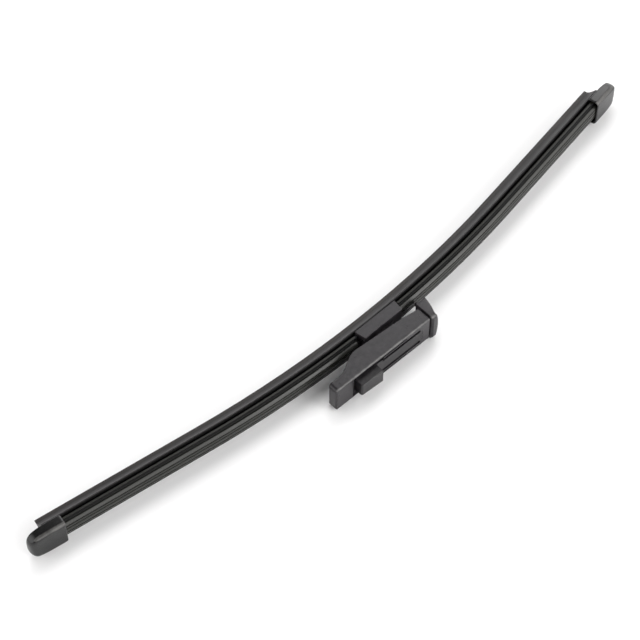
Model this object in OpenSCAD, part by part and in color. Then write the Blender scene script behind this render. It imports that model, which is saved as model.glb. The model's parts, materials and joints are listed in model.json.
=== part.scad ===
// Rear wiper blade of the flat (beam) kind, with its quick-release arm adapter.
// It lies on its side: X runs along the blade, +Y is the side of the wiping lip, and Z = 0 is
// the surface that it lies on. All lengths are in millimetres.
// Along the blade a place is a station s, the arc length from the middle. Across it a place is
// a height h from the edge of the lip towards the back, and a width w from the middle plane.

/* [Blade] */
// Length of the wiping rubber along its curve
rubber_len = 272; // [230:1:330]
// Length of the curved stretch in the middle, between the two straight ends
curve_len = 144; // [100:1:180]
// Radius of the curve at the wiping lip
bow_r = 456; // [380:1:800]
// Play between the pieces that are pushed into each other
fit = 0.05; // [0.03:0.01:0.1]

/* [Wiping rubber] */
// Thickness of the lip at its edge
lip_t = 0.76; // [0.5:0.02:1]
// Height of the thin lip
lip_h = 1.3; // [0.8:0.1:1.8]
// Height of the flared flank behind the lip
flank_h = 3.6; // [2.8:0.1:4.6]
// Width across the shoulders
shoulder_w = 8.9; // [7.8:0.1:9.6]
// Thickness of the shoulders
shoulder_t = 0.65; // [0.4:0.05:1]
// Height of the neck between the shoulders and the front jaw
neck_h = 0.6; // [0.5:0.05:1]
// Thickness of the neck
neck_t = 1; // [0.8:0.1:1.6]
// Width of the jaw in front of the rails
front_jaw_w = 5.2; // [4:0.1:6]
// Thickness of the jaw in front of the rails
front_jaw_t = 0.6; // [0.5:0.05:0.8]
// Thickness of the web between the two rails
web_t = 1.3; // [1:0.1:1.6]
// Width of the jaw behind the rails
rear_jaw_w = 4.6; // [3.6:0.1:5]
// Thickness of the jaw behind the rails
rear_jaw_t = 0.8; // [0.5:0.05:1.1]

/* [Spring rails] */
// Width of one rail
rail_w = 3.65; // [3.2:0.05:4.2]
// Thickness of a rail
rail_t = 0.75; // [0.5:0.05:1]
// Gap between a rail and the end wall of its cap
rail_end_gap = 1; // [0.5:0.1:3]

/* [Back strip] */
// How far a claw reaches in front of its rail
claw_reach = 0.7; // [0.4:0.05:1]
// Thickness of a claw in front of the rail
claw_t = 0.38; // [0.3:0.02:0.5]
// Wall of a claw beside the rail
claw_wall = 0.6; // [0.5:0.05:1]
// Thickness of the ledge behind the rail
ledge_t = 0.42; // [0.35:0.02:0.6]
// Width of the spine where it stands on the ledges
spine_w = 6.9; // [6.2:0.1:7.4]
// Width of the top of the spine
spine_top_w = 5.4; // [5:0.1:6]
// Wall of the spine behind the rubber
spine_wall = 1; // [0.9:0.05:1.6]
// Width of a groove in the spine
groove_w = 0.4; // [0.3:0.05:0.6]
// Depth of a groove in the spine
groove_d = 0.3; // [0.15:0.05:0.5]
// Gap between the end of a strip and the end wall of its cap
strip_end_gap = 2.5; // [1.2:0.1:4]

/* [End caps] */
// Length of a cap
cap_len = 13.5; // [10:0.5:18]
// How far a cap reaches past the end of the rubber
cap_over = 6.6; // [5:0.2:8]
// Gap between the end of the rubber and the end of its slot in the cap
rubber_end_gap = 0.4; // [0.2:0.1:1]
// Wall of a cap
cap_wall = 0.65; // [0.5:0.05:0.9]
// End wall of a cap
cap_end_wall = 1.6; // [1:0.1:2.2]
// Room between the claws and the sides of a cap
cap_play = 0.4; // [0.2:0.05:0.5]
// Radius of the long edges at the back of a cap
cap_edge_r = 1.35; // [0.8:0.05:1.5]
// Radius of the long edges at the front of a cap
cap_front_r = 0.6; // [0.3:0.1:0.8]
// Radius of the outer corners of a cap, seen from the back
cap_corner_r = 3.8; // [2:0.1:4.4]
// Radius of the outer edge between the end and the back of a cap
cap_nose_r = 2.4; // [1.6:0.1:2.6]
// Gap between the shoulders of the rubber and a cap
cap_gap = 0.2; // [0.1:0.05:0.25]

/* [Connector base] */
// Distance from the middle of the blade to the pivot
pivot_x = 1.5; // [0:0.1:4]
// Length of the base along its front edge
base_len = 19.4; // [17:0.1:24]
// How much shorter the base is along its back edge, at each end
base_taper = 0.7; // [0.2:0.1:1.5]
// Wall of the base behind the rails
base_wall = 3.2; // [2.6:0.1:3.4]
// Wall of the base beside the rails
base_side = 1.55; // [1.2:0.05:1.8]
// Gap between the left strip and the base
left_strip_gap = 1; // [0.3:0.1:2]
// Gap between the right strip and the base
right_strip_gap = 0.4; // [0.2:0.1:2]
// Thickness of the web that carries the pin
pin_web_t = 7; // [5:0.2:7.2]
// Radius of the round end of that web
pin_boss_r = 2.4; // [2.2:0.1:2.5]
// Height of the pin behind the back face of the base
pin_height = 4.7; // [4.4:0.1:5.4]

/* [Pivot pin] */
// Diameter of the pin
pin_d = 3; // [2:0.1:3.4]
// Length of the pin
pin_len = 10.6; // [9:0.1:10.8]
// Play of the pin in the adapter, measured on the radius
pin_play = 0.05; // [0.02:0.01:0.1]

/* [Arm adapter] */
// Turn of the adapter against the blade as it lies, in degrees
adapter_turn = -1; // [-2:0.1:0]
// Width of the adapter
adapter_w = 12; // [11.6:0.1:13]
// Side walls of the adapter
side_wall = 1.3; // [1:0.05:1.6]
// Back wall of the adapter
back_wall = 1.2; // [0.9:0.05:1.6]
// Distance from the pin to the back face
back_depth = 4.8; // [4.6:0.1:6]
// Distance from the pin to the front edge of the side walls, where they are deepest
front_depth = 3.55; // [3.2:0.05:3.9]
// The same distance at the groove
front_right = 1.2; // [0.8:0.1:1.8]
// Distance from the pin to the tip
tip_reach = 31.7; // [28:0.1:40]
// Thickness of the flat tip
tip_t = 4.1; // [2.6:0.1:4.4]
// Length of the flat tip
tip_len = 4.8; // [4:0.1:7]
// Length of the curve that joins the walls to the tip
slope_len = 11.8; // [8:0.2:16]
// Solid length at the tip
tip_solid = 7; // [5.5:0.1:7.4]
// Distance from the pin to the groove in front of the nose
groove_reach = 13.1; // [12:0.1:16]
// Width of that groove, and its depth on all sides
nose_groove = 0.7; // [0.4:0.1:1.2]
// Depth of the narrow grooves along the back, beside the tongue
side_groove_d = 1; // [0.5:0.1:1.1]
// Radius of the long edges
adapter_edge_r = 0.8; // [0.3:0.1:1.1]
// Room between the adapter and the web of the connector base
web_play = 0.3; // [0.2:0.05:0.6]

/* [Nose] */
// Width of the nose
nose_w = 13; // [12.6:0.1:15]
// Length of the nose along its side
nose_len = 4.9; // [4:0.1:7]
// Distance from the pin to the front face of the nose
nose_front = 2.5; // [2:0.1:3]
// How far the nose stands behind the back face
nose_step = 0.75; // [0.4:0.05:1.5]
// How much shorter the nose is at its back than at its front
nose_taper = 1.2; // [0.6:0.1:1.6]
// Radius of the outer edges of the nose
nose_r = 1.3; // [0.6:0.1:1.6]
// Width of the leg that stops against the back of the blade
leg_w = 5.4; // [4.4:0.2:8]
// Gap between the leg and the blade as it lies
leg_gap = 0.3; // [0.25:0.05:0.6]

/* [Release tongue] */
// Width of the tongue
tongue_w = 4.8; // [4:0.1:5.2]
// Width of a slot beside the tongue
slot_w = 1.1; // [0.8:0.1:1.4]
// Distance from the pin to the right end of the slots
slot_reach = 8.5; // [6:0.1:9.5]
// Distance from the pin to the left end of the slots
slot_left = 9.2; // [6:0.1:10]
// Width of the button
button_w = 6.9; // [5.8:0.1:7.2]
// Length of the button
button_len = 9.7; // [7:0.1:11]
// Distance from the pin to the right end of the button
button_at = 12.4; // [11.8:0.1:13]
// Height of the button at its right end
button_h = 3.35; // [1.6:0.05:4]
// How much lower the button is at its left end
button_fall = 0.5; // [0:0.1:1]
// Gap at the left end of the button
notch_len = 1.6; // [0.8:0.1:2]
// Play of the tongue at its root
root_play = 0.06; // [0.04:0.01:0.12]

/* [Hidden] */
$fn = 64;

// Heights of the stacked section, from the edge of the lip towards the back
shoulder_at = lip_h + flank_h;
neck_at = shoulder_at + shoulder_t;
front_jaw_at = neck_at + neck_h;
rail_at = front_jaw_at + front_jaw_t + fit;
rear_jaw_at = rail_at + rail_t + fit;
rear_jaw_back = rear_jaw_at + rear_jaw_t;
slot_front = rail_at - fit;
slot_back = rail_at + rail_t + fit;
claw_front = slot_front - claw_t;
ledge_at = slot_back + ledge_t;
spine_back = rear_jaw_back + fit + spine_wall;
base_front = claw_front - 0.15;
base_back = slot_back + base_wall;

// Half widths
rail_inner = web_t / 2 + 2 * fit;
rail_outer = rail_inner + rail_w;
slot_half = rail_outer + fit;
claw_half = slot_half + claw_wall;
claw_inner = rail_outer - claw_reach;
base_half = slot_half + base_side;
cap_half = claw_half + cap_play + cap_wall;
nose_half = nose_w / 2;
adapter_half = adapter_w / 2;
tongue_half = tongue_w / 2;
window_half = tongue_half + slot_w;
button_half = button_w / 2;
cavity_half = adapter_half - side_wall;

// Stations along the blade
arc_half = curve_len / 2;
rubber_half = rubber_len / 2;
cap_end = rubber_half + cap_over;
cap_mouth = cap_end - cap_len;
rail_half = cap_end - cap_end_wall - rail_end_gap;
strip_end = cap_end - cap_end_wall - strip_end_gap;
base_left = pivot_x - base_len / 2;
base_right = pivot_x + base_len / 2;

// Direction of the blade at a station, and the point of the lip there
function bow_turn(s) = max(-arc_half, min(arc_half, s)) / bow_r * 180 / PI;
function bow_point(s) =
    let (a = bow_turn(s), beyond = s - max(-arc_half, min(arc_half, s)))
    [bow_r * sin(a) + beyond * cos(a), bow_r * (1 - cos(a)) + beyond * sin(a)];

// Places in the adapter: u is along it from the pin, v is towards its back
pin_at = base_back + pin_height;
back_at = back_depth;
wall_in = back_depth - back_wall;
tip_at = -tip_reach;
nose_at = groove_reach + nose_groove;
nose_end = nose_at + nose_len;
cavity_left = tip_at + tip_solid;
cavity_right = groove_reach - 1.4;
front_bend = 0.43;
nose_back = back_at + nose_step;
root_u = slot_reach + 0.9;
root_r = back_wall / 2;
root_v = back_at - root_r;
button_left = -button_at - button_len;
window_left = button_left - notch_len;
button_top = back_at + button_h;
boss_in = pin_web_t / 2 + web_play;
pin_hole_depth = pin_len / 2 + 0.1;

// The leg ends short of the blade's back, as near as its left corner may come
leg_left = nose_at + 1.6;
leg_right = nose_end - 0.3;
leg_end = (pin_at - spine_back - leg_gap + bow_point(pivot_x + leg_left)[1]) * cos(adapter_turn)
          - leg_left * sin(adapter_turn);

// The origin is under the middle of the whole object, on the surface it lies on
button_y = -pin_at - button_at * sin(adapter_turn) - button_top * cos(adapter_turn);
lip_y = bow_point(rubber_half)[1];
centre_y = (button_y + lip_y) / 2;
mid_z = nose_half;

BLACK_RUBBER = [0.16, 0.16, 0.16];
BLACK_PLASTIC = [0.24, 0.24, 0.25];
BLACK_GLOSS = [0.2, 0.2, 0.21];
DARK_STEEL = [0.3, 0.3, 0.32];
BRIGHT_STEEL = [0.7, 0.7, 0.72];

// Points of an arc
function arc(centre, r, from, to, n = 6) =
    [for (i = [0:n]) let (a = from + (to - from) * i / n) centre + r * [cos(a), sin(a)]];

// Points of a box with its own radius at each corner, anticlockwise from the lower left one
function round_box(lo, hi, r) = concat(
    r[0] > 0 ? arc([lo[0] + r[0], lo[1] + r[0]], r[0], 180, 270) : [lo],
    r[1] > 0 ? arc([hi[0] - r[1], lo[1] + r[1]], r[1], 270, 360) : [[hi[0], lo[1]]],
    r[2] > 0 ? arc([hi[0] - r[2], hi[1] - r[2]], r[2], 0, 90) : [hi],
    r[3] > 0 ? arc([lo[0] + r[3], hi[1] - r[3]], r[3], 90, 180) : [[lo[0], hi[1]]]);

// A closed outline from its half with w above 0, mirrored in the middle plane
function both_halves(half) =
    concat(half, [for (i = [len(half) - 1:-1:0]) [half[i][0], -half[i][1]]]);

// Everything stands in the object's own frame
module placed() {
    translate([0, -centre_y, mid_z]) children();
}

// Children lie at station s, with X along the blade and Y towards the lip
module at_station(s) {
    translate(bow_point(s)) rotate([0, 0, bow_turn(s)]) children();
}

// A section of h and w becomes a bar that follows the left half of the blade: it bends from the
// inner station to the joint with the straight end, and runs on to the outer station. Both
// stretches start on the same plane, so they join face to face.
module left_bar(inner, outer) {
    at_station(-arc_half) {
        rotate([90, 0, -90]) linear_extrude(outer - arc_half) children();
        translate([0, bow_r, 0]) rotate([0, 0, -90])
            rotate_extrude(angle = bow_turn(arc_half) - bow_turn(inner), $fn = 720)
                translate([bow_r, 0]) children();
    }
}

// A bar over the whole blade: its left half, cut in the middle, and the mirror image
module whole_bar(outer) {
    for (side = [0, 1])
        mirror([side, 0, 0]) intersection() {
            left_bar(-1, outer) children();
            translate([-outer, -outer / 2, -outer / 4]) cube([outer, outer, outer / 2]);
        }
}

// Wiping rubber: thin lip, flared flank, shoulders, and two jaws that hold the rails
flank_steps = 6;
flank_power = 1.3;
module rubber_section() {
    flank = [for (i = [0:flank_steps]) let (t = i / flank_steps)
        [lip_h + flank_h * t,
         lip_t * 0.63 + (shoulder_w / 2 - lip_t * 0.63) * pow(t, flank_power)]];
    polygon(both_halves(concat(
        [[0, lip_t / 2]],
        flank,
        [[neck_at - 0.1, shoulder_w / 2], [neck_at, shoulder_w / 2 - 0.25], [neck_at, neck_t / 2],
         [front_jaw_at, neck_t / 2], [front_jaw_at, front_jaw_w / 2 - 0.2],
         [front_jaw_at + 0.2, front_jaw_w / 2], [slot_front, front_jaw_w / 2],
         [slot_front, web_t / 2], [slot_back, web_t / 2],
         [slot_back, rear_jaw_w / 2], [rear_jaw_back - 0.2, rear_jaw_w / 2],
         [rear_jaw_back, rear_jaw_w / 2 - 0.3]])));
}

module wiping_rubber() {
    color(BLACK_RUBBER) placed() whole_bar(rubber_half) rubber_section();
}

// One spring rail, on one side of the rubber's web
module spring_rail() {
    whole_bar(rail_half) translate([rail_at, rail_inner]) square([rail_t, rail_w]);
}

module upper_spring_rail() {
    color(DARK_STEEL) placed() spring_rail();
}

module lower_spring_rail() {
    color(DARK_STEEL) placed() mirror([0, 0, 1]) spring_rail();
}

// The room that the rails and the rubber's jaws take behind the shoulders
module rail_room() {
    polygon(both_halves([
        [claw_front - 1, claw_inner], [slot_front, claw_inner], [slot_front, slot_half],
        [slot_back, slot_half], [slot_back, rear_jaw_w / 2 + 2 * fit],
        [rear_jaw_back + fit, rear_jaw_w / 2 + 2 * fit]]));
}

// Back strip: two claws round the rails, a ledge on each side, and a grooved spine
spine_wall_h = 0.35;
spine_crown = 0.18;
groove_places = [0.18, 0.43];
module strip_section() {
    difference() {
        polygon(both_halves([
            [claw_front, claw_inner + 0.1], [claw_front + 0.25, slot_half],
            [claw_front + 0.75, claw_half - 0.2], [slot_back + 0.15, claw_half],
            [ledge_at, claw_half - 0.15], [ledge_at, spine_w / 2],
            [ledge_at + spine_wall_h, spine_w / 2],
            [spine_back - spine_crown, spine_top_w / 2], [spine_back, spine_top_w / 5]]));
        rail_room();
        for (side = [-1, 1], place = groove_places)
            translate([spine_back - spine_crown - groove_d, side * place * spine_top_w - groove_w / 2])
                square([groove_d + spine_crown + 1, groove_w]);
    }
}

module left_back_strip() {
    color(BLACK_PLASTIC) placed() left_bar(left_strip_gap - base_left, strip_end) strip_section();
}

module right_back_strip() {
    color(BLACK_PLASTIC) placed() mirror([1, 0, 0])
        left_bar(base_right + right_strip_gap, strip_end) strip_section();
}

// End cap: a box with round edges, open at its mouth and slotted for the rubber
cap_front = neck_at + cap_gap;
cap_back = spine_back + fit + cap_wall;
cap_slot_half = front_jaw_w / 2 + 0.3;
pocket_half = cap_half - cap_wall;
pocket_r = max(0.3, cap_corner_r - cap_end_wall);
module cap_body() {
    intersection() {
        rotate([90, 0, -90]) linear_extrude(cap_len)
            polygon(round_box([cap_front, -cap_half], [cap_back, cap_half],
                              [cap_front_r, cap_edge_r, cap_edge_r, cap_front_r]));
        linear_extrude(3 * cap_half, center = true)
            polygon(round_box([-cap_len - 1, -cap_back], [0, -cap_front],
                              [0, cap_nose_r, cap_nose_r / 2, 0]));
        rotate([90, 0, 0]) linear_extrude(2 * cap_back)
            polygon(round_box([-cap_len - 1, -cap_half], [0, cap_half],
                              [0, cap_corner_r, cap_corner_r, 0]));
    }
}

// The room inside a cap for the strip and the rails, with round corners at its closed end
module cap_pocket() {
    intersection() {
        translate([-cap_end_wall, 0, 0]) rotate([90, 0, -90]) linear_extrude(cap_len)
            polygon(round_box([claw_front - fit, -pocket_half], [spine_back + fit, pocket_half],
                              [0.3, 0.3, 0.3, 0.3]));
        rotate([90, 0, 0]) linear_extrude(2 * cap_back)
            polygon(round_box([-2 * cap_len, -pocket_half], [-cap_end_wall, pocket_half],
                              [0, pocket_r, pocket_r, 0]));
    }
}

module end_cap() {
    at_station(cap_end) difference() {
        cap_body();
        cap_pocket();
        // slot for the neck and the front jaw of the rubber
        translate([-cap_len - 1, -claw_front - 1, -cap_slot_half])
            cube([cap_len + 1 - cap_over + rubber_end_gap, 4, 2 * cap_slot_half]);
    }
}

module right_end_cap() {
    color(BLACK_GLOSS) placed() end_cap();
}

module left_end_cap() {
    color(BLACK_GLOSS) placed() mirror([1, 0, 0]) end_cap();
}

// Connector base: a saddle whose claws hold the rails, and a web for the pivot pin
module connector_base() {
    color(BLACK_PLASTIC) placed() difference() {
        union() {
            linear_extrude(2 * base_half, center = true)
                polygon([[base_left, -base_front], [base_left + base_taper, -base_back],
                         [base_right - base_taper, -base_back], [base_right, -base_front]]);
            translate([pivot_x, 0, 0]) {
                linear_extrude(pin_web_t, center = true)
                    polygon([[-pin_boss_r - 2, 0.5 - base_back], [-pin_boss_r, -pin_at],
                             [pin_boss_r, -pin_at], [pin_boss_r + 2, 0.5 - base_back]]);
                translate([0, -pin_at, 0]) cylinder(r = pin_boss_r, h = pin_web_t, center = true);
            }
        }
        translate([0, bow_r, 0]) rotate([0, 0, -90 - bow_turn(base_right + 2)])
            rotate_extrude(angle = 2 * bow_turn(base_right + 2), $fn = 720)
                translate([bow_r, 0]) rail_room();
        translate([pivot_x, -pin_at, 0]) cylinder(d = pin_d, h = pin_web_t + 1, center = true);
    }
}

module pivot_pin() {
    color(BRIGHT_STEEL) placed()
        translate([pivot_x, -pin_at, 0]) cylinder(d = pin_d, h = pin_len, center = true);
}

// Children are drawn from the pin, with u along X and v along -Y
module at_adapter() {
    translate([pivot_x, -pin_at, 0]) rotate([0, 0, adapter_turn]) children();
}

// Side view of the adapter: sloping front edge, an S-shaped step down to the flat tip
slope_steps = 10;
tip_r = 1;
module adapter_side() {
    slope_end = tip_at + tip_len;
    slope_start = slope_end + slope_len;
    tip_front = back_at - tip_t;
    slope = [for (i = [0:slope_steps]) let (t = i / slope_steps)
        [slope_start - slope_len * t,
         front_depth - (front_depth + tip_front) * (1 - cos(180 * t)) / 2]];
    polygon(concat(
        [[groove_reach, -back_at], [groove_reach, front_right],
         [groove_reach * front_bend, front_right + (front_depth - front_right) * front_bend]],
        slope,
        arc([tip_at + tip_r, -tip_front - tip_r], tip_r, 90, 180),
        arc([tip_at + tip_r, tip_r - back_at], tip_r, 180, 270)));
}

module adapter_body() {
    intersection() {
        linear_extrude(adapter_w, center = true) adapter_side();
        translate([tip_at - 1, 0, 0]) rotate([90, 0, 90]) linear_extrude(tip_reach + groove_reach + 2)
            polygon(round_box([-back_at, -adapter_half], [front_depth + 1, adapter_half],
                              [adapter_edge_r, 0, 0, adapter_edge_r]));
        translate([0, front_depth + 1, 0]) rotate([90, 0, 0])
            linear_extrude(back_at + front_depth + 2)
                polygon(round_box([tip_at, -adapter_half], [groove_reach, adapter_half],
                                  [1.6, 0, 0, 1.6]));
    }
}

// Nose: a wider block behind a groove, with a leg that stops against the blade
module nose_side() {
    corner = [nose_end - nose_taper - nose_r, nose_r - nose_back];
    polygon(concat(
        [[nose_at, nose_front], [nose_end, nose_front], [nose_end - nose_taper / 4, 0]],
        arc(corner, nose_r, 0, -90),
        [[nose_at + nose_groove, -nose_back], [nose_at, -back_at]]));
}

module nose() {
    intersection() {
        linear_extrude(nose_w, center = true) nose_side();
        translate([nose_at - 1, 0, 0]) rotate([90, 0, 90]) linear_extrude(nose_len + 2)
            polygon(round_box([-nose_back, -nose_half], [nose_front, nose_half],
                              [nose_r, nose_groove, nose_groove, nose_r]));
        translate([0, nose_front + 1, 0]) rotate([90, 0, 0])
            linear_extrude(nose_back + nose_front + 2)
                polygon(round_box([0, -nose_half], [nose_end, nose_half],
                                  [0, nose_r, nose_r, 0]));
    }
    linear_extrude(leg_w, center = true)
        polygon([[leg_left, 0], [leg_left, leg_end], [leg_right, leg_end],
                 [nose_end - nose_taper / 2, 0]]);
    // core that joins the nose to the body behind the groove
    translate([groove_reach - 1, nose_groove - back_at, nose_groove - adapter_half])
        cube([nose_groove + 2, back_at + front_right - 2 * nose_groove, adapter_w - 2 * nose_groove]);
}

// The window in the back wall, seen from the back: two slots and the room round the button
module tongue_window() {
    slot_r = slot_w / 2;
    for (side = [-1, 1])
        translate([slot_reach - slot_r, side * (tongue_half + slot_r)]) circle(r = slot_r);
    translate([-slot_left - 1, -window_half])
        square([slot_left + 1 + slot_reach - slot_r, 2 * window_half]);
    translate([window_left, -cavity_half])
        square([-slot_left - window_left, 2 * cavity_half]);
    translate([0, -tongue_half - root_play]) square([root_u, 2 * (tongue_half + root_play)]);
}

// Narrow grooves along the back, over the inner faces of the side walls
side_groove_w = 0.5;
side_groove_right = 2;
module side_grooves() {
    for (side = [-1, 1])
        translate([window_left, -back_at - 1, side * (cavity_half + 0.05) - side_groove_w / 2])
            cube([side_groove_right - window_left, 1 + side_groove_d, side_groove_w]);
}

module arm_adapter() {
    color(BLACK_PLASTIC) placed() at_adapter() difference() {
        union() {
            difference() {
                adapter_body();
                // the inside, open towards the blade
                translate([cavity_left, -wall_in, -cavity_half])
                    cube([cavity_right - cavity_left, wall_in + front_depth + 1, 2 * cavity_half]);
            }
            // bosses inside the side walls, where the pin ends
            for (side = [-1, 1])
                translate([0, 0, side * (boss_in + adapter_half - 0.5) / 2])
                    cylinder(r = pin_boss_r, h = adapter_half - 0.5 - boss_in, center = true);
            nose();
        }
        translate([0, 1 - wall_in, 0]) rotate([90, 0, 0]) linear_extrude(back_wall + 2)
            tongue_window();
        // round seat for the root of the tongue
        linear_extrude(2 * (tongue_half + root_play), center = true)
            polygon(arc([root_u, -root_v], root_r + root_play, -90, 90, 8));
        side_grooves();
        cylinder(r = pin_d / 2 + pin_play, h = 2 * pin_hole_depth, center = true);
    }
}

// Release tongue: round root, thin spring, and the button that is pressed
module tongue_side() {
    polygon(concat(
        [[button_left, -wall_in]],
        arc([root_u, -root_v], root_r, 90, -90, 8),
        [[-button_at, -back_at], [-button_at, -button_top],
         [button_left + 0.5, -button_top + button_fall], [button_left, -button_top + button_fall + 0.4]]));
}

module tongue_outline() {
    translate([button_left, -button_half]) square([-slot_left - 0.4 - button_left, button_w]);
    translate([button_left, -tongue_half]) square([root_u + root_r + 1 - button_left, tongue_w]);
}

module release_tongue() {
    color(BLACK_PLASTIC) placed() at_adapter() intersection() {
        linear_extrude(button_w + 1, center = true) tongue_side();
        translate([0, 1 - wall_in, 0]) rotate([90, 0, 0]) linear_extrude(button_top + 3)
            tongue_outline();
    }
}

wiping_rubber();
upper_spring_rail();
lower_spring_rail();
left_back_strip();
right_back_strip();
left_end_cap();
right_end_cap();
connector_base();
pivot_pin();
arm_adapter();
release_tongue();
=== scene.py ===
# %% [markdown]
# A rear wiper blade lies on its side on a white table. Its construction, pieces and joints come
# ready from the frame. This lesson gives it a camera, a soft studio, rounded edges and the
# different blacks of rubber, extruded plastic, moulded plastic and coated steel.

# %% Load the frame
import json
import math

import bmesh
import bpy
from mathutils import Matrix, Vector


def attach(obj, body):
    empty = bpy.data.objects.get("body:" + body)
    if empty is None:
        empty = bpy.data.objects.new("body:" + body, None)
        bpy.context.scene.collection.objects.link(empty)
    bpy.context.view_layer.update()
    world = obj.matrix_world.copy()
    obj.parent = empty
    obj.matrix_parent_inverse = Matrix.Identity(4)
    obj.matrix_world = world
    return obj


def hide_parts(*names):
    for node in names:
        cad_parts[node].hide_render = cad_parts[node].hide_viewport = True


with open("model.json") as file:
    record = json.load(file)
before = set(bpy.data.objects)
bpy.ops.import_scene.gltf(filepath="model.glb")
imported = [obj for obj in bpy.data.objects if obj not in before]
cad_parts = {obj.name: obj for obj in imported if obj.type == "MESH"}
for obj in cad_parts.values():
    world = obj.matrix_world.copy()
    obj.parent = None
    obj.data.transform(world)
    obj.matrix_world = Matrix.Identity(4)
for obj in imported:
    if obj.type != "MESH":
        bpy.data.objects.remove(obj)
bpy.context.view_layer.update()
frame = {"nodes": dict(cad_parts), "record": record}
nodes = frame["nodes"]
MM = 0.001

# %% [markdown]
# The photograph looks down at the blade at 55 degrees, from the side of its left end, with a
# long lens about 0.8 m away. The camera is placed from these few values: the point on the table
# that it aims at, its turn and height, its distance and its lens.

# %% Camera
AIM = Vector((-7.37, 15.925, 0.0)) * MM
CAMERA_TURN = -43.84
CAMERA_HEIGHT = 55.0
CAMERA_DISTANCE = 790.0 * MM
LENS_MM = 125.07


def direction(turn, height):
    """Unit vector from the object towards a point at that turn and height, in degrees."""
    a, e = math.radians(turn), math.radians(height)
    return Vector((math.sin(a) * math.cos(e), -math.cos(a) * math.cos(e), math.sin(e)))


def add_camera():
    """The photograph's view, aimed at a point on the table with no roll."""
    back = direction(CAMERA_TURN, CAMERA_HEIGHT)
    bpy.ops.object.camera_add(location=AIM + back * CAMERA_DISTANCE)
    camera = bpy.context.object
    camera.name = "photo_camera"
    camera.rotation_mode = "QUATERNION"
    camera.rotation_quaternion = (-back).to_track_quat("-Z", "Y")
    camera.data.lens = LENS_MM
    camera.data.clip_start = 0.01
    camera.data.clip_end = 20.0
    bpy.context.scene.camera = camera
    return camera


camera = add_camera()
print("camera at", [round(v / MM, 1) for v in camera.location], "mm")

# %% [markdown]
# A catalogue picture of a black object needs a bright table and large soft lights that show as
# soft reflections on it. Black plastic is seen almost only by what it reflects, so each light is
# put where a face of the blade mirrors it. The table is a plain white sheet.

# %% Studio table
FLOOR_SIZE = 6.0
TABLE_COLOUR = (0.92, 0.915, 0.915)
TABLE_ROUGHNESS = 0.7


def add_floor():
    """The table that the blade lies on."""
    material = bpy.data.materials.new("white table")
    material.use_nodes = True
    shader = material.node_tree.nodes["Principled BSDF"]
    shader.inputs["Base Color"].default_value = (*TABLE_COLOUR, 1.0)
    shader.inputs["Roughness"].default_value = TABLE_ROUGHNESS
    bpy.ops.mesh.primitive_plane_add(size=FLOOR_SIZE, location=(0, 0, 0))
    floor = bpy.context.object
    floor.name = "table"
    floor.data.materials.append(material)


add_floor()
print("table:", FLOOR_SIZE, "m wide")

# %% [markdown]
# The studio round the table is the world's own light: a dim tent with a few bright soft panels.
# Each panel is a round patch of the sky, given by its direction, its radius and its strength, and
# it fades softly at its rim. One real lamp behind the blade casts the shadow towards the viewer;
# it lights the table and is kept out of the reflections, which belong to the panels.

# %% Studio light
TENT = 0.1
PANELS = [
    # turn, height, inner radius, outer radius in degrees, strength
    (0.0, 16.0, 10.0, 42.0, 2.5),
    (60.0, 16.0, 10.0, 42.0, 1.5),
    (120.0, 16.0, 10.0, 42.0, 2.6),
    (240.0, 16.0, 10.0, 42.0, 2.5),
    (48.0, 58.0, 5.0, 20.0, 1.1),
    (27.0, 26.0, 5.0, 20.0, 6.0),
    (125.0, 47.0, 4.0, 19.0, 3.6),
]
KEY_TURN = 178.0
KEY_HEIGHT = 60.0
KEY_DISTANCE = 1.4
KEY_SIZE = 1.1
KEY_WATTS = 8.0


def panel_nodes(tree, sky, panel):
    """Nodes that give one soft round patch of light; returns their output socket."""
    turn, height, inner, outer, strength = panel
    facing = tree.nodes.new("ShaderNodeVectorMath")
    facing.operation = "DOT_PRODUCT"
    facing.inputs[1].default_value = direction(turn, height)
    tree.links.new(sky, facing.inputs[0])
    fade = tree.nodes.new("ShaderNodeMapRange")
    fade.interpolation_type = "SMOOTHSTEP"
    fade.inputs["From Min"].default_value = math.cos(math.radians(outer))
    fade.inputs["From Max"].default_value = math.cos(math.radians(inner))
    fade.inputs["To Min"].default_value = 0.0
    fade.inputs["To Max"].default_value = strength
    tree.links.new(facing.outputs["Value"], fade.inputs["Value"])
    return fade.outputs["Result"]


def add_world():
    """The tent and its panels, summed; the first sum starts from the tent."""
    world = bpy.data.worlds.new("white studio")
    world.use_nodes = True
    tree = world.node_tree
    sky = tree.nodes.new("ShaderNodeTexCoord").outputs["Generated"]
    total = None
    for panel in PANELS:
        add = tree.nodes.new("ShaderNodeMath")
        add.operation = "ADD"
        add.inputs[1].default_value = TENT
        tree.links.new(panel_nodes(tree, sky, panel), add.inputs[0])
        if total is not None:
            tree.links.new(total, add.inputs[1])
        total = add.outputs["Value"]
    background = tree.nodes["Background"]
    background.inputs["Color"].default_value = (1.0, 1.0, 1.0, 1.0)
    tree.links.new(total, background.inputs["Strength"])
    bpy.context.scene.world = world


def add_key():
    """A square soft lamp that faces the blade."""
    back = direction(KEY_TURN, KEY_HEIGHT)
    bpy.ops.object.light_add(type="AREA", location=back * KEY_DISTANCE)
    light = bpy.context.object
    light.name = "key lamp"
    light.data.size = KEY_SIZE
    light.data.energy = KEY_WATTS
    light.visible_glossy = False
    light.rotation_mode = "QUATERNION"
    light.rotation_quaternion = (-back).to_track_quat("-Z", "Y")


add_world()
add_key()
bpy.context.scene.view_settings.view_transform = "Standard"
print("light:", len(PANELS), "panels and one lamp")

# %% [markdown]
# The pieces of the frame are exact, but each edge is perfectly sharp, and a sharp edge catches no
# light. On the real blade every edge has a small radius from its die or mould. Each visible piece
# is therefore worked from a merged copy of its solid: flat triangles are joined to whole faces,
# edges are bevelled, and the faces are shaded smoothly.

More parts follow.
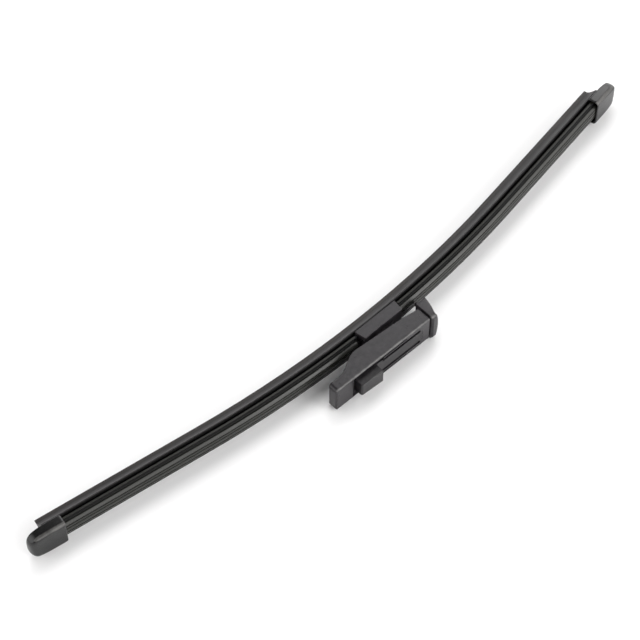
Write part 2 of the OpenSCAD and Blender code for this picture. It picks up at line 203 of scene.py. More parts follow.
# %% Helpers for worked pieces
WELD = 0.0005 * MM
FLAT = math.radians(0.2)
SHARP = math.radians(30.0)


def only(piece):
    """Selects one object alone and makes it active."""
    bpy.ops.object.select_all(action="DESELECT")
    piece.select_set(True)
    bpy.context.view_layer.objects.active = piece


def copy_of(node_name, piece_name):
    """A merged copy of a node's mesh, as a new object at the origin."""
    piece = bpy.data.objects.new(piece_name, nodes[node_name].data.copy())
    bpy.context.collection.objects.link(piece)
    only(piece)
    bpy.ops.object.mode_set(mode="EDIT")
    bpy.ops.mesh.select_all(action="SELECT")
    bpy.ops.mesh.remove_doubles(threshold=WELD)
    bpy.ops.mesh.dissolve_limited(angle_limit=FLAT)
    bpy.ops.mesh.select_all(action="DESELECT")
    bpy.ops.object.mode_set(mode="OBJECT")
    return piece


def weigh_edges(piece, share_at):
    """Gives each sharp edge its share of the rounding."""
    mesh = bmesh.new()
    mesh.from_mesh(piece.data)
    shares = mesh.edges.layers.float.new("bevel_weight_edge")
    for edge in mesh.edges:
        if len(edge.link_faces) == 2 and edge.calc_face_angle() > SHARP:
            edge[shares] = share_at((edge.verts[0].co + edge.verts[1].co) / 2)
    mesh.to_mesh(piece.data)
    mesh.free()


def whole(_point):
    """Every edge gets its full rounding."""
    return 1.0


def soften(piece, width, segments, share_at=whole):
    """Rounds the sharp edges and shades the piece smoothly."""
    weigh_edges(piece, share_at)
    only(piece)
    bevel = piece.modifiers.new("rounded edges", "BEVEL")
    bevel.width = width * MM
    bevel.segments = segments
    bevel.limit_method = "WEIGHT"
    bevel.use_clamp_overlap = False
    bpy.ops.object.modifier_apply(modifier=bevel.name)
    bpy.ops.object.shade_smooth()
    weighted = piece.modifiers.new("even shading", "WEIGHTED_NORMAL")
    weighted.keep_sharp = True
    bpy.ops.object.modifier_apply(modifier=weighted.name)


print("edges sharper than", round(math.degrees(SHARP)), "degrees are rounded")

# %% [markdown]
# A worked piece stands in for its node: it rides on the same body, takes the node's place and
# keeps its material slot. The record of the frame says which body and slot that is.

# %% Bodies and slots
BODY = {}
for body, members in frame["record"]["behaviour"]["bodies"].items():
    for member in members:
        BODY[member] = body
SLOT = {row["node"]: row["material_slot"] for row in frame["record"]["subparts"]}
pieces = {}


def keep(piece, node_name):
    """Puts a worked piece in the place of its node."""
    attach(piece, BODY[node_name])
    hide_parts(node_name)
    pieces[node_name] = piece
    print(piece.name, "has", len(piece.data.polygons), "faces")


print("bodies:", sorted(set(BODY.values())))

# %% [markdown]
# The rubber and the back strips are drawn through dies, so their fine lines run along the bow.
# A vertex attribute keeps, for each point, how far along the bow it lies, how far behind it and
# how far across. The bow is one arc in the middle and runs straight to both ends.

# %% Place along the bow
BOW_RADIUS = 456.0 * MM
BOW_HALF = 72.0 * MM
BOW_Y = 3.84831 * MM
BOW_Z = 6.5 * MM


def along_bow(point):
    """(along, behind, across) of a point on the bow, in metres."""
    rise = point.y - BOW_Y
    angle = math.atan2(point.x, BOW_RADIUS - rise)
    end = BOW_HALF / BOW_RADIUS
    if abs(angle) <= end:
        behind = math.hypot(point.x, BOW_RADIUS - rise) - BOW_RADIUS
        return angle * BOW_RADIUS, behind, point.z - BOW_Z
    side = math.copysign(end, angle)
    dx = point.x - BOW_RADIUS * math.sin(side)
    dy = rise - BOW_RADIUS * (1.0 - math.cos(side))
    run = dx * math.cos(side) + dy * math.sin(side)
    behind = dx * math.sin(side) - dy * math.cos(side)
    return side * BOW_RADIUS + run, behind, point.z - BOW_Z


def mark_run(piece):
    """Stores the place along the bow on a piece, as the attribute that its material reads."""
    run = piece.data.attributes.new("run", "FLOAT_VECTOR", "POINT")
    for vertex, value in zip(piece.data.vertices, run.data):
        value.vector = along_bow(vertex.co)


print("bow: radius", round(BOW_RADIUS / MM), "mm over", round(2 * BOW_HALF / MM), "mm")

# %% [markdown]
# The wiping rubber is one extrusion: a thin lip, a flared body and a neck. Its section is exact in
# the solid, so a small bevel is enough. The same bevel suits the strips, which come from a die too.

# %% Wiping rubber
DIE_EDGE = 0.12

piece = copy_of("wiping_rubber", "rubber_blade")
soften(piece, DIE_EDGE, 2)
mark_run(piece)
keep(piece, "wiping_rubber")

# %% [markdown]
# On the back strips a narrow channel runs between the claw and the spine, where little light
# comes in. It could be cut with a long curved bar, but the flat ledge of the solid is already
# there: its faces are found by their place, inset and sunk.

# %% Back strips
LEDGE_BEHIND = 8.02
LEDGE_SLACK = 0.03
LEDGE_ACROSS = (3.4, 4.95)
CHANNEL_RIM = 0.15
CHANNEL_DEPTH = 0.35


def inside(value, limits):
    """Whether a value lies between two limits."""
    return limits[0] < value < limits[1]


def sink_ledge(piece):
    """Insets the ledges of a strip and sinks their middle."""
    only(piece)
    found = 0
    for face in piece.data.polygons:
        places = [along_bow(piece.data.vertices[i].co) for i in face.vertices]
        level = all(abs(place[1] / MM - LEDGE_BEHIND) < LEDGE_SLACK for place in places)
        beside = all(inside(abs(place[2]) / MM, LEDGE_ACROSS) for place in places)
        face.select = level and beside
        found += face.select
    bpy.ops.object.mode_set(mode="EDIT")
    bpy.ops.mesh.select_mode(type="FACE")
    bpy.ops.mesh.inset(thickness=CHANNEL_RIM * MM, depth=-CHANNEL_DEPTH * MM)
    bpy.ops.mesh.select_mode(type="VERT")
    bpy.ops.object.mode_set(mode="OBJECT")
    print(piece.name, "channel cut in", found, "faces")


for side in ("left", "right"):
    piece = copy_of(side + "_back_strip", side + "_strip")
    sink_ledge(piece)
    soften(piece, DIE_EDGE, 2)
    mark_run(piece)
    keep(piece, side + "_back_strip")

# %% [markdown]
# The closed ends of the caps are as round as the end of a thumb: three faces meet there with no
# corner left. Bevels that wide would run into each other, so the cap gets an even skin of small
# faces instead. Its last millimetres are drawn in a little, and the skin is smoothed the more the
# closer it lies to the end. The places are in millimetres along the bow.

# %% End caps
SKIN = 0.2
DRAWN_FROM = 130.0
DRAWN_IN = 0.00055
ROUND_FROM = 136.6
ROUND_OVER = 4.0
END_BULGE = 0.4
BULGE_HALF = 5.5
MOUTH_TO = 130.4
MOUTH_OVER = 1.2
EVEN_SHARE = 0.04
MOUTH_SHARE = 0.25
SMOOTHINGS = 140


def part_way(distance, length):
    """How much of a length a distance has covered, from 0 to 1."""
    return min(1.0, max(0.0, distance / length))


def round_cap(piece):
    """Makes the far end of a cap as round as the real one."""
    only(piece)
    skin = piece.modifiers.new("even skin", "REMESH")
    skin.mode = "VOXEL"
    skin.voxel_size = SKIN * MM
    bpy.ops.object.modifier_apply(modifier=skin.name)
    group = piece.vertex_groups.new(name="far end")
    turn = BOW_HALF / BOW_RADIUS
    for vertex in piece.data.vertices:
        along, _behind, across = (value / MM for value in along_bow(vertex.co))
        past = max(0.0, abs(along) - DRAWN_FROM)
        vertex.co.z = BOW_Z + across * MM * (1.0 - DRAWN_IN * past * past)
        near = part_way(abs(along) - ROUND_FROM, ROUND_OVER)
        bulge = END_BULGE * near * (1.0 - (across / BULGE_HALF) ** 2)
        vertex.co.x += math.copysign(bulge * math.cos(turn), along) * MM
        vertex.co.y += bulge * math.sin(turn) * MM
        share = EVEN_SHARE + (1.0 - EVEN_SHARE) * near * near * (3.0 - 2.0 * near)
        share += MOUTH_SHARE * part_way(MOUTH_TO - abs(along), MOUTH_OVER)
        group.add([vertex.index], share, "REPLACE")
    smooth = piece.modifiers.new("rounded skin", "SMOOTH")
    smooth.factor = 0.5
    smooth.iterations = SMOOTHINGS
    smooth.vertex_group = group.name
    bpy.ops.object.modifier_apply(modifier=smooth.name)
    bpy.ops.object.shade_smooth()


for side in ("left", "right"):
    piece = copy_of(side + "_end_cap", side + "_cap")
    round_cap(piece)
    mark_run(piece)
    keep(piece, side + "_end_cap")

# %% [markdown]
# The connector base is a plain moulded saddle that grips the rails. It keeps the shape of its
# solid and only gets the radii that its mould leaves.

# %% Connector base
BASE_EDGE = 0.15

piece = copy_of("connector_base", "saddle")
soften(piece, BASE_EDGE, 2)
keep(piece, "connector_base")

# %% [markdown]
# The adapter turns on its pin, so its own directions are a degree off the blade's. Its shape is
# edited in those directions: along from the pin, behind it towards the back, and across.

# %% Place in the adapter
PIN = Vector((1.5, -11.6517, 6.5)) * MM
SEAT_TURN = math.radians(-1.0)


def seat_of(point):
    """(along, behind, across) of a point in the adapter, in millimetres."""
    dx, dy = point.x - PIN.x, point.y - PIN.y
    along = dx * math.cos(SEAT_TURN) + dy * math.sin(SEAT_TURN)
    behind = dx * math.sin(SEAT_TURN) - dy * math.cos(SEAT_TURN)
    return Vector((along, behind, point.z - PIN.z)) / MM


def from_seat(seat):
    """The point of the frame that lies at that place in the adapter."""
    along, behind, across = seat * MM
    x = PIN.x + along * math.cos(SEAT_TURN) + behind * math.sin(SEAT_TURN)
    y = PIN.y + along * math.sin(SEAT_TURN) - behind * math.cos(SEAT_TURN)
    return Vector((x, y, PIN.z + across))


def mark_seat(piece):
    """Stores the place in the adapter on a piece, in metres."""
    seat = piece.data.attributes.new("seat", "FLOAT_VECTOR", "POINT")
    for vertex, value in zip(piece.data.vertices, seat.data):
        value.vector = seat_of(vertex.co) * MM


print("adapter turned by", round(math.degrees(SEAT_TURN), 1), "degrees about its pin")

# %% [markdown]
# The nose of the adapter is a moulded block whose end bulges and leans back. The solid has a
# plainer nose, so its copy is cut into bands there, and the points are moved from the end of the
# solid to the end of the real one. A new block would need a clean joint with the housing. All
# these places are in millimetres in the adapter's own directions.

# %% Nose of the adapter
BANDS_FROM = 13.7
BANDS_ACROSS = (-4.0, -2.8, -1.4, 0.0, 1.4, 2.8, 4.0)
BANDS_BEHIND = (0.0, 1.6, 3.0)
NOSE_FROM = 13.75
NOSE_START = 14.5
NOSE_FRONT = -2.4
NOSE_BOTTOM = -2.6
NOSE_TOP = 4.25
NOSE_HALF = 6.5
NOSE_DEEPER = 0.7
# The end of the solid: two sloping faces and round corners
SOLID_END = 18.4
SOLID_FRONT = -2.5
SOLID_FRONT_SLOPE = 0.12
SOLID_BACK_SLOPE = 0.212
SOLID_REACH = 18.7
SOLID_CORNER_AT = 5.2
SOLID_CORNER = 1.3
# The end of the real one: it leans back more from the bend on, and bulges across
REAL_END = 17.5
REAL_SLOPE = 0.216
BEND_AT = 1.6
BEND_END = 17.15
BEND_SLOPE = 0.325
BULGE = 1.05
CORNER = 0.6


def cut_bands(piece, planes):
    """Cuts the nose with planes, each a place and a direction in the adapter."""
    only(piece)
    for seat, way in planes:
        bpy.ops.object.mode_set(mode="EDIT")
        bpy.ops.mesh.select_all(action="DESELECT")
        bpy.ops.object.mode_set(mode="OBJECT")
        for face in piece.data.polygons:
            corners = [seat_of(piece.data.vertices[i].co).x for i in face.vertices]
            face.select = min(corners) > BANDS_FROM
        bpy.ops.object.mode_set(mode="EDIT")
        place = from_seat(Vector(seat))
        ahead = from_seat(Vector(seat) + Vector(way)) - place
        bpy.ops.mesh.bisect(plane_co=place, plane_no=ahead.normalized())
        bpy.ops.object.mode_set(mode="OBJECT")


def solid_end(behind, across):
    """How far along the nose of the solid reaches there."""
    if behind < 0.0:
        side = SOLID_END - SOLID_FRONT_SLOPE * max(behind, SOLID_FRONT)
    else:
        side = SOLID_END - SOLID_BACK_SLOPE * min(behind, NOSE_TOP)
    over = max(0.0, abs(across) - SOLID_CORNER_AT)
    plan = SOLID_REACH - SOLID_CORNER + math.sqrt(max(0.0, SOLID_CORNER ** 2 - over * over))
    return min(side, plan)


def real_end(behind, across):
    """How far along the real nose reaches there."""
    back = min(behind, NOSE_TOP)
    if back < BEND_AT:
        edge = REAL_END - REAL_SLOPE * back
    else:
        edge = BEND_END - BEND_SLOPE * (back - BEND_AT)
    over = max(0.0, abs(across) - (NOSE_HALF - CORNER))
    round_off = CORNER - math.sqrt(max(0.0, CORNER * CORNER - over * over))
    return edge + BULGE * (1.0 - (across / NOSE_HALF) ** 2) - round_off


def reshape_nose(seat):
    """The new place of a point of the nose."""
    along, behind, across = seat
    if behind < NOSE_FRONT:
        behind -= NOSE_DEEPER
    if along > NOSE_START and behind > NOSE_BOTTOM - NOSE_DEEPER:
        real = real_end(behind, across) - NOSE_START
        solid = solid_end(behind, across) - NOSE_START
        along = NOSE_START + (along - NOSE_START) * (real / solid)
    return Vector((along, behind, across))


print("nose at the pin's height: solid", solid_end(0.0, 0.0), "mm, real", real_end(0.0, 0.0), "mm")

# %% [markdown]
# The leg under the nose is slim on the real adapter, so that daylight shows beside it. The slots
# beside the tongue are wide with round ends, and two narrow grooves run along the back. These
# places are found by their limits and their points are moved.

# %% Leg, slots and grooves of the adapter
LEG_FROM = 15.3
LEG_FRONT = -2.45
LEG_HALF = 2.8
LEG_START = 15.4
SLIM_START = 16.6
SLIM_ALONG = 0.3
SLIM_ACROSS = 0.36
SLOT_BEHIND = 3.5
SLOT_ALONG = (-10.5, 8.6)
SLOT_ACROSS = (2.5, 3.6)
SLOT_INNER = 2.4
SLOT_WIDER = 1.32
SLOT_END = 7.95
SLOT_LONGER = 0.32
GROOVE_BEHIND = 3.7
GROOVE_ALONG = (-25.0, 2.1)
GROOVE_ACROSS = (4.4, 5.1)
GROOVE_MIDDLE = 4.75
GROOVE_WIDER = 1.4


def slim_leg(seat):
    """The new place of a point of the leg."""
    along, behind, across = seat
    deeper = NOSE_DEEPER if behind > NOSE_BOTTOM else 0.0
    slim = SLIM_START + SLIM_ALONG * (along - LEG_START)
    return Vector((slim, behind - deeper, SLIM_ACROSS * across))


def widen_slot(seat):
    """The new place of a point on the outer side of a slot."""
    along, behind, across = seat
    wide = SLOT_INNER + SLOT_WIDER * (abs(across) - SLOT_INNER)
    along += SLOT_LONGER * max(0.0, along - SLOT_END)
    return Vector((along, behind, math.copysign(wide, across)))


def widen_groove(seat):
    """The new place of a point of a groove."""
    along, behind, across = seat
    wide = GROOVE_MIDDLE + GROOVE_WIDER * (abs(across) - GROOVE_MIDDLE)
    return Vector((along, behind, math.copysign(wide, across)))


def reshape_adapter(seat):
    """The new place of a point of the adapter."""
    along, behind, across = seat.x, seat.y, abs(seat.z)
    if along > NOSE_FROM:
        on_leg = along > LEG_FROM and behind < LEG_FRONT and across < LEG_HALF
        return slim_leg(seat) if on_leg else reshape_nose(seat)
    if behind > SLOT_BEHIND and inside(along, SLOT_ALONG) and inside(across, SLOT_ACROSS):
        return widen_slot(seat)
    if behind > GROOVE_BEHIND and inside(along, GROOVE_ALONG) and inside(across, GROOVE_ACROSS):
        return widen_groove(seat)
    return seat


print("leg slimmed to", SLIM_ALONG, "of its length and", SLIM_ACROSS, "of its width")

# %% [markdown]
# The adapter's copy now gets its nose, leg, slots and grooves. The edges round the tongue's
# window get a smaller radius than the outer ones, and the round root that the tongue turns on
# gets none, so that it keeps its play.

# %% Arm adapter
MOULD_EDGE = 0.2
ROOT_ALONG = (7.6, 10.6)
ROOT_HALF = 2.55
ROOT_BEHIND = 3.0
WINDOW_ALONG = (-25.0, 10.0)
WINDOW_HALF = 5.2
WINDOW_BEHIND = (3.3, 5.0)
WINDOW_SHARE = 0.3


def share_on_adapter(point):
    """How much of the rounding an edge of the adapter or tongue gets."""
    along, behind, across = seat_of(point)
    if inside(along, ROOT_ALONG) and abs(across) < ROOT_HALF and behind > ROOT_BEHIND:
        return 0.0
    if inside(along, WINDOW_ALONG) and abs(across) < WINDOW_HALF and inside(behind, WINDOW_BEHIND):
        return WINDOW_SHARE
    return 1.0


def shape_adapter(piece):
    """Cuts the nose into bands and moves the points of the adapter."""
    bands = [((0.0, 0.0, across), (0.0, 0.0, 1.0)) for across in BANDS_ACROSS]
    bands += [((0.0, behind, 0.0), (0.0, 1.0, 0.0)) for behind in BANDS_BEHIND]
    cut_bands(piece, bands)
    for vertex in piece.data.vertices:
        vertex.co = from_seat(reshape_adapter(seat_of(vertex.co)))


piece = copy_of("arm_adapter", "adapter")
shape_adapter(piece)
soften(piece, MOULD_EDGE, 3, share_on_adapter)
mark_seat(piece)
keep(piece, "arm_adapter")

# %% [markdown]
# The release tongue carries the button that is pressed to free the arm. The sides of the button
# lean in towards its outer face, so that it leaves its mould, and that is done by moving points.

# %% Release tongue
BUTTON_FROM = 5.5
BUTTON_FOOT = 4.8
BUTTON_LEAN = 0.12
BUTTON_HALF = 3.0


def lean_button(piece):
    """Leans the two sides of the button in towards its outer face."""
    for vertex in piece.data.vertices:
        seat = seat_of(vertex.co)
        if seat.y > BUTTON_FROM:
            lean = BUTTON_LEAN * (seat.y - BUTTON_FOOT) * min(1.0, abs(seat.z) / BUTTON_HALF)
            seat.z -= math.copysign(lean, seat.z)
            vertex.co = from_seat(seat)


piece = copy_of("release_tongue", "tongue")
lean_button(piece)
soften(piece, MOULD_EDGE, 3, share_on_adapter)
mark_seat(piece)
keep(piece, "release_tongue")

# %% [markdown]
# Every finish is a dark plastic or rubber whose character lies in its surface: grain from the
# mould, fine lines from the die, and small changes of gloss. These effects are shader groups,
# built once and used in each material with its own values. Real texture pictures could do the
# same, but noise needs no picture and stays sharp from near.

# %% Helpers for groups
NOISE_LOW = 0.3
NOISE_HIGH = 0.7


def new_group(name, inputs, outputs):
    """An empty shader group with named inputs (name, type, value) and outputs (name, type)."""
    group = bpy.data.node_groups.new(name, "ShaderNodeTree")
    for socket_name, kind, value in inputs:
        socket = group.interface.new_socket(name=socket_name, in_out="INPUT", socket_type=kind)
        if value is not None:
            socket.default_value = value
    for socket_name, kind in outputs:
        group.interface.new_socket(name=socket_name, in_out="OUTPUT", socket_type=kind)
    return group, group.nodes.new("NodeGroupInput"), group.nodes.new("NodeGroupOutput")


def add_noise(group, vector, scale, detail, roughness):
    """A noise texture in a group; its scale comes from a socket."""
    noise = group.nodes.new("ShaderNodeTexNoise")
    noise.inputs["Detail"].default_value = detail
    noise.inputs["Roughness"].default_value = roughness
    group.links.new(vector, noise.inputs["Vector"])
    group.links.new(scale, noise.inputs["Scale"])
    return noise.outputs["Fac"]


def widen(group, noise):
    """A noise keeps near its middle; this spreads that part over 0 to 1."""
    spread = group.nodes.new("ShaderNodeMapRange")
    spread.inputs["From Min"].default_value = NOISE_LOW
    spread.inputs["From Max"].default_value = NOISE_HIGH
    group.links.new(noise, spread.inputs["Value"])
    return spread.outputs["Result"]


# %% [markdown]
# A mould leaves a fine grain, and the plastic cools in broad patches that differ a little in
# shade and gloss. Two noises give both.

# %% Mould grain group


def build_grain():
    """Fine mould grain for relief, and broad soft patches for colour and gloss."""
    group, start, end = new_group(
        "mould grain",
        [("Vector", "NodeSocketVector", None), ("Grain", "NodeSocketFloat", 5000.0),
         ("Patch", "NodeSocketFloat", 160.0)],
        [("Height", "NodeSocketFloat"), ("Patches", "NodeSocketFloat")],
    )
    vector = start.outputs["Vector"]
    fine = add_noise(group, vector, start.outputs["Grain"], 2.0, 0.6)
    broad = add_noise(group, vector, start.outputs["Patch"], 4.0, 0.6)
    patches = widen(group, broad)
    group.links.new(fine, end.inputs["Height"])
    group.links.new(patches, end.inputs["Patches"])
    return group


GRAIN = build_grain()
print("group:", GRAIN.name)

# %% [markdown]
# A die draws the same fine lines along the whole extrusion. A noise gives them once its place is
# squeezed along the bow, so that each blot becomes a long line.

# %% Die line group
LINE_STRETCH = (0.012, 1.0, 1.0)


def build_lines():
    """Long fine lines that run along the blade, as a die leaves them."""
    group, start, end = new_group(
        "die lines",
        [("Run", "NodeSocketVector", None), ("Across", "NodeSocketFloat", 1800.0)],
        [("Height", "NodeSocketFloat"), ("Lines", "NodeSocketFloat")],
    )
    stretch = group.nodes.new("ShaderNodeVectorMath")
    stretch.operation = "MULTIPLY"
    stretch.inputs[1].default_value = LINE_STRETCH
    group.links.new(start.outputs["Run"], stretch.inputs[0])
    lines = add_noise(group, stretch.outputs["Vector"], start.outputs["Across"], 3.0, 0.6)
    group.links.new(lines, end.inputs["Height"])
    group.links.new(widen(group, lines), end.inputs["Lines"])
    return group


LINES = build_lines()
print("group:", LINES.name)

# %% [markdown]
# Painted highlights along the ridges of a blade and painted shade in its deep corners both follow a
# line along the piece, so one mask serves them: it is full near a given place in the section and
# fades with the distance from it, on both sides of the middle.

# %% Painted light and shade band group


def build_ridge():
    """A soft mask along a pair of edges, given by their place behind and across."""
    group, start, end = new_group(
        "painted light and shade band",
        [("Place", "NodeSocketVector", None), ("Edge", "NodeSocketVector", None),
         ("Inner", "NodeSocketFloat", 0.0003), ("Outer", "NodeSocketFloat", 0.0011)],
        [("Mask", "NodeSocketFloat")],
    )
    both_sides = group.nodes.new("ShaderNodeVectorMath")
    both_sides.operation = "ABSOLUTE"
    flat = group.nodes.new("ShaderNodeVectorMath")
    flat.operation = "MULTIPLY"
    flat.inputs[1].default_value = (0.0, 1.0, 1.0)
    reach = group.nodes.new("ShaderNodeVectorMath")
    reach.operation = "DISTANCE"
    fade = group.nodes.new("ShaderNodeMapRange")
    fade.interpolation_type = "SMOOTHSTEP"
    fade.inputs["To Min"].default_value = 1.0
    fade.inputs["To Max"].default_value = 0.0
    group.links.new(start.outputs["Place"], both_sides.inputs[0])
    group.links.new(both_sides.outputs["Vector"], flat.inputs[0])
    group.links.new(flat.outputs["Vector"], reach.inputs[0])
    group.links.new(start.outputs["Edge"], reach.inputs[1])
    group.links.new(reach.outputs["Value"], fade.inputs["Value"])
    group.links.new(start.outputs["Inner"], fade.inputs["From Min"])
    group.links.new(start.outputs["Outer"], fade.inputs["From Max"])
    group.links.new(fade.outputs["Result"], end.inputs["Mask"])
    return group


RIDGE = build_ridge()
print("group:", RIDGE.name)

# %% [markdown]
# Each material mixes two close shades by the patches or lines of its group, and lets the same
# pattern change the gloss a little. A Bump node turns the grain's height into relief. A painted
# highlight along edges lies over the shades and is broken up by the same pattern.

# %% Helpers for materials
SOFT_GLOSS = 0.36
# Black painted as shade into the deep corners of the drawn pieces.
PAINTED_SHADE_BLACK = (0.001, 0.001, 0.001)
DIE_GRAIN = {"Grain": 5000.0, "Patch": 90.0}
# How much the painted highlight along edges is broken up by the patches or the lines.
PAINTED_HIGHLIGHT_ON_PATCHES = (0.25, 1.25)
PAINTED_HIGHLIGHT_ON_LINES = (0.3, 1.3)


def use_group(tree, group, vector, values):
    """Places a group in a material and feeds it coordinates and plain values."""
    node = tree.nodes.new("ShaderNodeGroup")
    node.node_tree = group
    tree.links.new(vector, node.inputs[0])
    for name, value in values.items():
        node.inputs[name].default_value = value
    return node


def blend_shades(tree, mask, dark, light):
    """A colour between two shades, by a mask."""
    mix = tree.nodes.new("ShaderNodeMix")
    mix.data_type = "RGBA"
    mix.inputs["A"].default_value = (*dark, 1.0)
    mix.inputs["B"].default_value = (*light, 1.0)
    tree.links.new(mask, mix.inputs["Factor"])
    return mix.outputs["Result"]


def spread_value(tree, mask, low, high):
    """A value between low and high, by a mask."""
    node = tree.nodes.new("ShaderNodeMapRange")
    node.inputs["To Min"].default_value = low
    node.inputs["To Max"].default_value = high
    tree.links.new(mask, node.inputs["Value"])
    return node.outputs["Result"]


def add_relief(tree, height, depth, previous=None):
    """A bump whose depth is in metres; returns its normal."""
    bump = tree.nodes.new("ShaderNodeBump")
    bump.inputs["Strength"].default_value = 1.0
    bump.inputs["Distance"].default_value = depth
    tree.links.new(height, bump.inputs["Height"])
    if previous is not None:
        tree.links.new(previous, bump.inputs["Normal"])
    return bump.outputs["Normal"]


def add_band(tree, attribute, edge, inner, outer):
    """A mask round a pair of edges of a piece, from its own attribute."""
    place = tree.nodes.new("ShaderNodeAttribute")
    place.attribute_name = attribute
    band = use_group(tree, RIDGE, place.outputs["Vector"], {"Inner": inner, "Outer": outer})
    band.inputs["Edge"].default_value = edge
    return band.outputs["Mask"]


def multiply(tree, first, second):
    """The product of two masks."""
    node = tree.nodes.new("ShaderNodeMath")
    node.operation = "MULTIPLY"
    tree.links.new(first, node.inputs[0])
    tree.links.new(second, node.inputs[1])
    return node.outputs["Value"]


def lay_over(tree, mask, under, colour):
    """Lays one plain shade over a colour, by a mask."""
    mix = tree.nodes.new("ShaderNodeMix")
    mix.data_type = "RGBA"
    mix.inputs["B"].default_value = (*colour, 1.0)
    tree.links.new(under, mix.inputs["A"])
    tree.links.new(mask, mix.inputs["Factor"])
    return mix.outputs["Result"]


def moulded(name, dark, light, rough, grain, patch, depth, metallic=0.0, edge=None, painted_highlight=None,
            reach=(0.0002, 0.0009), place_name="seat"):
    """A moulded or coated surface: patches of two shades, fine grain and, where an edge is given, a
    painted highlight along it.
    """
    material = bpy.data.materials.new(name)
    material.use_nodes = True
    tree = material.node_tree
    shader = tree.nodes["Principled BSDF"]
    place = tree.nodes.new("ShaderNodeTexCoord").outputs["Object"]
    surface = use_group(tree, GRAIN, place, {"Grain": grain, "Patch": patch})
    shader.inputs["Metallic"].default_value = metallic
    shader.inputs["Specular IOR Level"].default_value = SOFT_GLOSS
    colour = blend_shades(tree, surface.outputs["Patches"], dark, light)
    if edge is not None:
        # Painted highlight along the given edges, broken up by the patches.
        ridge = add_band(tree, place_name, edge, *reach)
        broken = spread_value(tree, surface.outputs["Patches"], *PAINTED_HIGHLIGHT_ON_PATCHES)
        colour = lay_over(tree, multiply(tree, ridge, broken), colour, painted_highlight)
    tree.links.new(colour, shader.inputs["Base Color"])
    gloss = spread_value(tree, surface.outputs["Patches"], *rough)
    tree.links.new(gloss, shader.inputs["Roughness"])
    relief = add_relief(tree, surface.outputs["Height"], depth)
    tree.links.new(relief, shader.inputs["Normal"])
    return material


def drawn(name, dark, light, rough, across, line_depth, grain_depth, painted_shade_bands, painted_highlight):
    """A surface drawn through a die: lines of two shades along the bow, with fine grain.

    Each band of painted shade is a place with the reach of its full and its fading part, and is
    painted black and matt.
    The painted highlight along edges is given the same way, with its colour.
    """
    material = bpy.data.materials.new(name)
    material.use_nodes = True
    tree = material.node_tree
    shader = tree.nodes["Principled BSDF"]
    shader.inputs["Specular IOR Level"].default_value = SOFT_GLOSS
    run = tree.nodes.new("ShaderNodeAttribute")
    run.attribute_name = "run"
    lines = use_group(tree, LINES, run.outputs["Vector"], {"Across": across})
    surface = use_group(tree, GRAIN, run.outputs["Vector"], DIE_GRAIN)
    colour = blend_shades(tree, lines.outputs["Lines"], dark, light)
    # Painted highlight along the given edges, broken up by the lines.
    edge, inner, outer, shade = painted_highlight
    painted_highlight_mask = add_band(tree, "run", edge, inner, outer)
    broken = spread_value(tree, lines.outputs["Lines"], *PAINTED_HIGHLIGHT_ON_LINES)
    colour = lay_over(tree, multiply(tree, painted_highlight_mask, broken), colour, shade)
    gloss = spread_value(tree, surface.outputs["Patches"], *rough)
    # Painted shade: each band is painted black and made fully rough.
    for edge, inner, outer in painted_shade_bands:
        painted_shade_mask = add_band(tree, "run", edge, inner, outer)
        colour = lay_over(tree, painted_shade_mask, colour, PAINTED_SHADE_BLACK)
        matt = tree.nodes.new("ShaderNodeMath")
        matt.operation = "MAXIMUM"
        tree.links.new(gloss, matt.inputs[0])
        tree.links.new(painted_shade_mask, matt.inputs[1])
        gloss = matt.outputs["Value"]
    tree.links.new(colour, shader.inputs["Base Color"])
    tree.links.new(gloss, shader.inputs["Roughness"])
    relief = add_relief(tree, lines.outputs["Height"], line_depth)
    relief = add_relief(tree, surface.outputs["Height"], grain_depth, relief)
    tree.links.new(relief, shader.inputs["Normal"])
    return material


# %% [markdown]
# Rubber and strips are drawn, so their finishes run along the bow. A painted highlight lies along
# the edge of the lip and along the two edges of the spine of the strips, and painted shade makes
# the corners under the shoulder and behind the claw black. Places are behind and across, in metres.

# %% Finishes of rubber and strips
# Places of painted highlights (lip edge, spine edge) and of painted shade (under the shoulder, claw
# corners).
LIP_EDGE = (0.0, 0.0, 0.0008)
UNDER_SHOULDER = (0.0, 0.0056, 0.0035)
SHOULDER_CORNER = (0.0, 0.0055, 0.0045)
CLAW_CORNER = (0.0, 0.0081, 0.0043)
CLAW_TIP = (0.0, 0.0064, 0.0039)
SPINE_EDGE = (0.0, 0.0088, 0.0031)

# Painted highlight along the lip's edge, painted shade under the shoulder.
rubber_finish = drawn(
    "black rubber", (0.0085, 0.0075, 0.0085), (0.0155, 0.0138, 0.015),
    rough=(0.44, 0.54), across=1500.0, line_depth=0.00002, grain_depth=0.00001,
    painted_shade_bands=((UNDER_SHOULDER, 0.0007, 0.0009), (SHOULDER_CORNER, 0.0001, 0.0004)),
    painted_highlight=(LIP_EDGE, 0.0003, 0.003, (0.028, 0.024, 0.022)),
)
# Painted highlight along the spine's edges, painted shade behind the claw.
strip_finish = drawn(
    "drawn black plastic", (0.0065, 0.007, 0.0045), (0.0115, 0.012, 0.0085),
    rough=(0.28, 0.36), across=1500.0, line_depth=0.00001, grain_depth=0.000005,
    painted_shade_bands=((CLAW_CORNER, 0.0007, 0.001), (CLAW_TIP, 0.0003, 0.0006)),
    painted_highlight=(SPINE_EDGE, 0.0003, 0.0007, (0.03, 0.03, 0.026)),
)
print("drawn:", rubber_finish.name, "and", strip_finish.name)
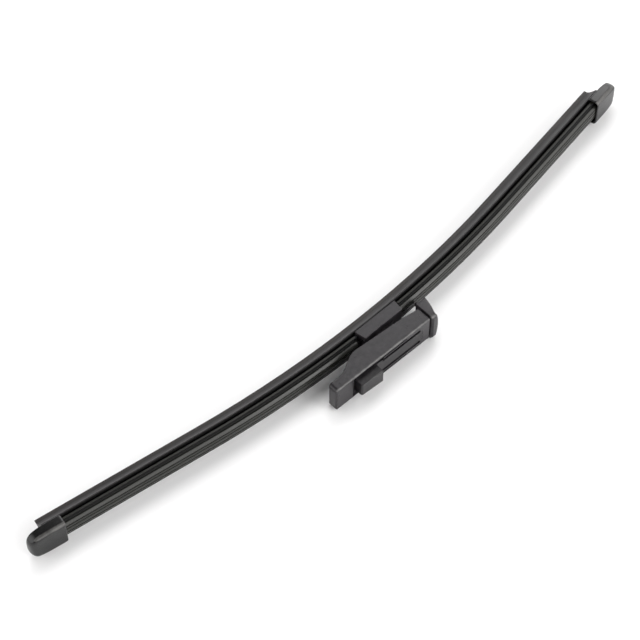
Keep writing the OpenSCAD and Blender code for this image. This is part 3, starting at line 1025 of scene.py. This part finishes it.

# %% [markdown]
# Caps, adapter and button are moulded: the caps smooth, the others with a fine grain. Each has
# a painted highlight along one ridge. The rails have a dark coating and the pin is bare
# turned steel, though little of either shows.

# %% Moulded and metal finishes
# Places of the painted highlights on the ridges, behind and across, in metres.
CAP_RIDGE = (0.0, 0.0096, 0.0056)
ADAPTER_RIDGE = (0.0, 0.0048, 0.006)
BUTTON_RIDGE = (0.0, 0.0079, 0.00345)

finishes = {
    "rubber": rubber_finish,
    "strip_plastic": strip_finish,
    # Painted highlight along the ridge of each cap.
    "cap_plastic": moulded(
        "smooth black plastic", (0.005, 0.005, 0.005), (0.007, 0.007, 0.007),
        rough=(0.22, 0.28), grain=2500.0, patch=120.0, depth=0.000004,
        edge=CAP_RIDGE, painted_highlight=(0.1, 0.097, 0.093), reach=(0.0005, 0.001), place_name="run",
    ),
    # Painted highlight along the back ridge of the adapter.
    "adapter_plastic": moulded(
        "grained black plastic", (0.005, 0.004, 0.0055), (0.029, 0.026, 0.029),
        rough=(0.26, 0.44), grain=3500.0, patch=420.0, depth=0.00002,
        edge=ADAPTER_RIDGE, painted_highlight=(0.13, 0.126, 0.124),
    ),
    # Darker shades than the adapter as painted shade on the button, and a painted highlight on its
    # ridge.
    "button": moulded(
        "black button with painted shade", (0.003, 0.0024, 0.0033), (0.024, 0.022, 0.0235),
        rough=(0.3, 0.42), grain=3500.0, patch=420.0, depth=0.00002,
        edge=BUTTON_RIDGE, painted_highlight=(0.11, 0.106, 0.104), reach=(0.0001, 0.0006),
    ),
    "rail_steel": moulded(
        "coated spring steel", (0.02, 0.02, 0.022), (0.03, 0.03, 0.033),
        rough=(0.3, 0.4), grain=3000.0, patch=200.0, depth=0.00001, metallic=0.5,
    ),
    "pin_steel": moulded(
        "turned steel", (0.45, 0.45, 0.46), (0.6, 0.6, 0.62),
        rough=(0.25, 0.35), grain=6000.0, patch=300.0, depth=0.000005, metallic=1.0,
    ),
}

# %% [markdown]
# Each node shows the finish of its slot. The tongue shares the adapter's slot, but it gets a
# darker finish of its own, painted shade on the button.

# %% Finishes on the pieces
for node_name, node in nodes.items():
    shown = pieces.get(node_name, node)
    for holder in shown.material_slots:
        holder.material = finishes[SLOT[node_name]]
    if not shown.material_slots:
        shown.data.materials.append(finishes[SLOT[node_name]])
for holder in pieces["release_tongue"].material_slots:
    holder.material = finishes["button"]
print("finishes:", sorted(finishes))
